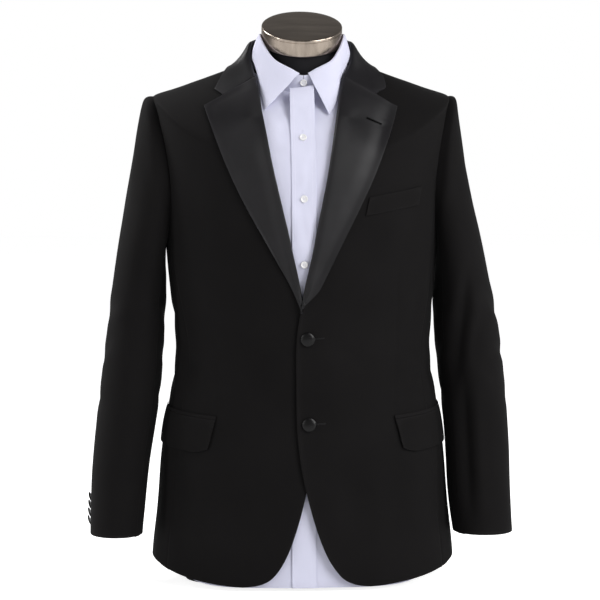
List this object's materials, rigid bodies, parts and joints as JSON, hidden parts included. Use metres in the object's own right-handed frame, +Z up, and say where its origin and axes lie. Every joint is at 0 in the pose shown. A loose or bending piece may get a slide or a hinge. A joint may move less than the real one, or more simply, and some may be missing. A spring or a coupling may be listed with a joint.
{
  "type": "tuxedo on a dress form",
  "caption": "Black tuxedo jacket with satin notch lapels over a white dress shirt, worn on a limbless black torso form with a steel neck cap.",
  "frame": {"origin": "middle of the dress form's flat foot", "axes": "+Z up, -Y the front of the jacket, +X the wearer's left"},
  "size_m": [0.6389, 0.2774, 0.8525],
  "materials": {
    "wool": "matte woven wool",
    "satin": "satin weave, soft sheen",
    "shirting": "plain poplin",
    "pearl": "pearly",
    "jersey": "stretched knit jersey",
    "steel": "brushed, warm grey"
  },
  "bodies": {
    "root": {"form_torso": "jersey", "form_cap": "steel", "shirt_front_left": "shirting", "shirt_front_right": "shirting", "shirt_back": "shirting", "shirt_placket": "shirting", "shirt_stand": "shirting", "shirt_leaf": "shirting", "shirt_button_1": "pearl", "shirt_button_2": "pearl", "shirt_button_3": "pearl", "shirt_button_neck": "pearl", "jacket_front_left": "wool", "jacket_side_left": "wool", "jacket_back_left": "wool", "sleeve_top_left": "wool", "sleeve_under_left": "wool", "lapel_left": "satin", "flap_left": "wool", "jet_left": "wool", "cuff_button_left_1": "satin", "cuff_button_left_2": "satin", "cuff_button_left_3": "satin", "cuff_button_left_4": "satin", "jacket_front_right": "wool", "jacket_side_right": "wool", "jacket_back_right": "wool", "sleeve_top_right": "wool", "sleeve_under_right": "wool", "lapel_right": "satin", "flap_right": "wool", "jet_right": "wool", "cuff_button_right_1": "satin", "cuff_button_right_2": "satin", "cuff_button_right_3": "satin", "cuff_button_right_4": "satin", "jacket_collar": "satin", "chest_welt": "wool", "front_button_1": "satin", "front_button_2": "satin"}
  },
  "joints": []
}
